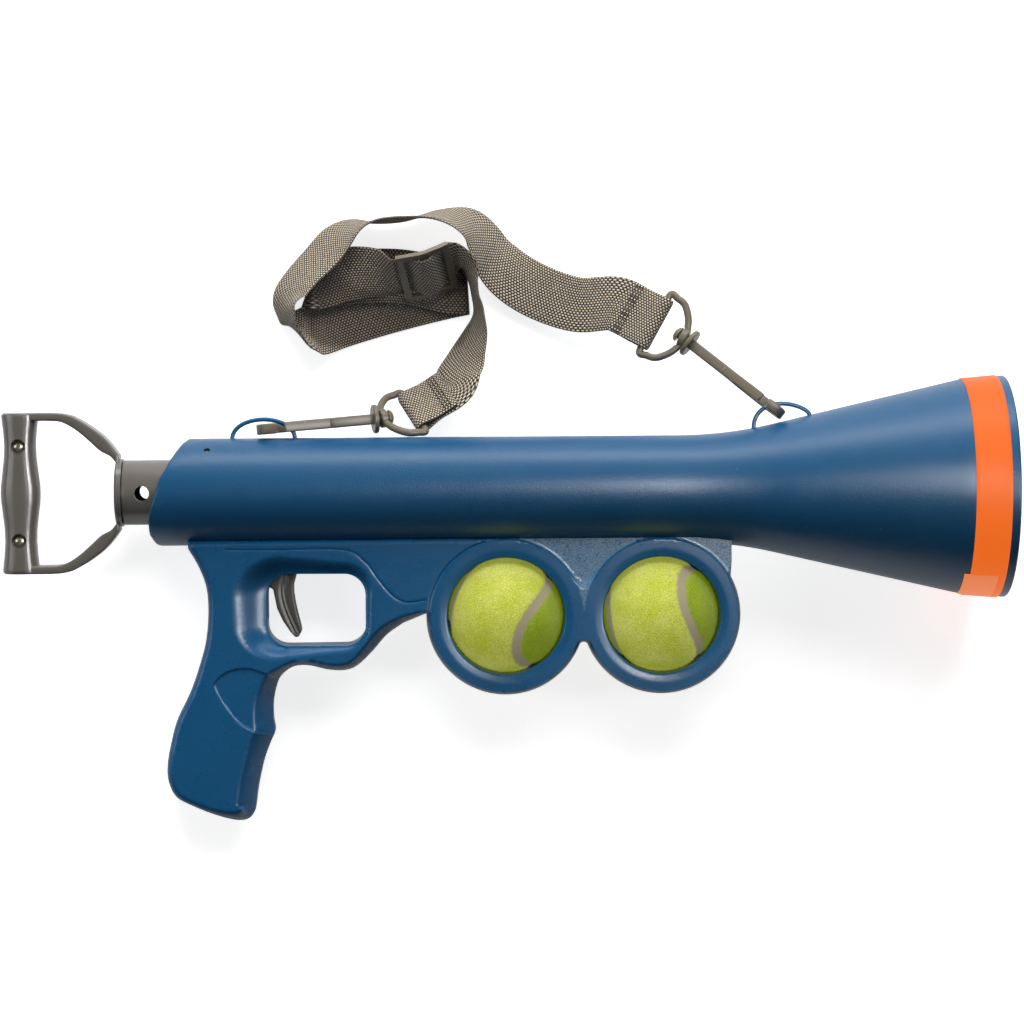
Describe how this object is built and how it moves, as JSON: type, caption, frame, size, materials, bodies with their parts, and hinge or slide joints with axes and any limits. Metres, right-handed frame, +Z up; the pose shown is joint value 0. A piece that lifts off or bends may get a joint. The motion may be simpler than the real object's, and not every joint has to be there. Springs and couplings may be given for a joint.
{
  "type": "dog ball thrower",
  "caption": "Spring-plunger tennis ball launcher for dogs with flared muzzle, pull handle, pistol grip, ball holders and a shoulder strap on snap hooks.",
  "frame": {"origin": "on the ground under the middle of the whole object, lying on its side", "axes": "+X the way the muzzle points, +Y towards the strap, +Z up"},
  "size_m": [0.576, 0.3554, 0.1268],
  "materials": {
    "blue_plastic": "smooth moulded plastic with a soft shine",
    "orange_tape": "smooth plastic tape",
    "grey_plastic": "fine-grained moulded plastic",
    "dark_grey_plastic": "fine-grained moulded plastic",
    "taupe_plastic": "satin moulded plastic",
    "webbing": "woven webbing, light yarn over dark",
    "ball_felt": "short yellow-green felt with pale seams",
    "steel": "plain zinc-plated steel",
    "black_rubber": "soft black rubber",
    "white_plastic": "plain white plastic"
  },
  "bodies": {
    "frame": {"barrel": "blue_plastic", "body_far": "blue_plastic", "body_near": "blue_plastic", "body_screw_1": "steel", "body_screw_2": "steel", "body_screw_3": "steel", "body_screw_4": "steel", "body_screw_5": "steel", "body_screw_6": "steel", "body_screw_7": "steel", "body_screw_8": "steel", "bushing_screw_far": "steel", "bushing_screw_near": "steel", "bushing_sleeve": "white_plastic", "hook_front_ring": "taupe_plastic", "hook_rear_ring": "taupe_plastic", "main_spring": "steel", "orange_band": "orange_tape", "sear_pin": "steel", "sear_spring": "steel", "strap": "webbing", "strap_loop_front": "blue_plastic", "strap_loop_rear": "blue_plastic", "strap_slider": "taupe_plastic", "trigger_pin": "steel", "trigger_spring": "steel"},
    "plunger": {"pull_tube": "grey_plastic", "plunger_head": "white_plastic", "plunger_pad": "black_rubber", "plunger_screw": "steel", "handle_frame": "grey_plastic", "handle_cover": "grey_plastic", "handle_screw_upper": "steel", "handle_screw_lower": "steel", "handle_rivet_upper": "steel", "handle_rivet_lower": "steel"},
    "trigger": {"trigger": "dark_grey_plastic"},
    "sear": {"sear": "white_plastic"},
    "ball_rear": {"ball_rear": "ball_felt"},
    "ball_front": {"ball_front": "ball_felt"},
    "hook_rear": {"hook_rear": "taupe_plastic"},
    "hook_rear_gate": {"hook_rear_gate": "taupe_plastic"},
    "hook_front": {"hook_front": "taupe_plastic"},
    "hook_front_gate": {"hook_front_gate": "taupe_plastic"}
  },
  "joints": [
    {"name": "plunger_slide", "type": "slide", "parent": "frame", "child": "plunger", "axis": [-0.9975, 0, -0.0703], "range_m": [0, 0.13], "stiffness_N_per_m": 120, "springref_m": -0.08, "deforming": ["main_spring"]},
    {"name": "trigger_pull", "type": "hinge", "parent": "frame", "child": "trigger", "pos_m": [-0.12316, -0.02973, 0.03193], "axis": [0.07, 0.0803, -0.9943], "range_deg": [0, 12], "stiffness_Nm_per_rad": 0.25, "springref_deg": -20.05},
    {"name": "sear_release", "type": "hinge", "parent": "frame", "child": "sear", "pos_m": [-0.1461, -0.03122, 0.03019], "axis": [-0.07, -0.0803, 0.9943], "range_deg": [0, 10.8]},
    {"name": "ball_rear_out", "type": "slide", "parent": "frame", "child": "ball_rear", "axis": [-0.07, -0.0803, 0.9943], "range_m": [0, 0.05]},
    {"name": "ball_front_out", "type": "slide", "parent": "frame", "child": "ball_front", "axis": [-0.07, -0.0803, 0.9943], "range_m": [0, 0.05]},
    {"name": "hook_rear_swivel", "type": "hinge", "parent": "frame", "child": "hook_rear", "pos_m": [-0.06983, 0.05169, 0.02921], "axis": [-0.9876, -0.0959, 0.1241], "range_deg": [-10, 10]},
    {"name": "hook_rear_gate_spring", "type": "hinge", "parent": "hook_rear", "child": "hook_rear_gate", "pos_m": [-0.10018, 0.04825, 0.03968], "axis": [0.0872, -0.9934, -0.0741], "range_deg": [0, 11], "stiffness_Nm_per_rad": 0.05, "springref_deg": -14.32},
    {"name": "hook_front_swivel", "type": "hinge", "parent": "frame", "child": "hook_front", "pos_m": [0.10316, 0.09668, 0.04098], "axis": [0.7411, -0.6277, 0.2382], "range_deg": [-10, 10]},
    {"name": "hook_front_gate_spring", "type": "hinge", "parent": "hook_front", "child": "hook_front_gate", "pos_m": [0.12492, 0.0773, 0.05489], "axis": [0.6225, 0.7753, 0.1064], "range_deg": [0, 11], "stiffness_Nm_per_rad": 0.05, "springref_deg": -14.32}
  ],
  "couplings": [
    {"joint": "sear_release", "follows": "trigger_pull", "ratio": 0.9}
  ]
}
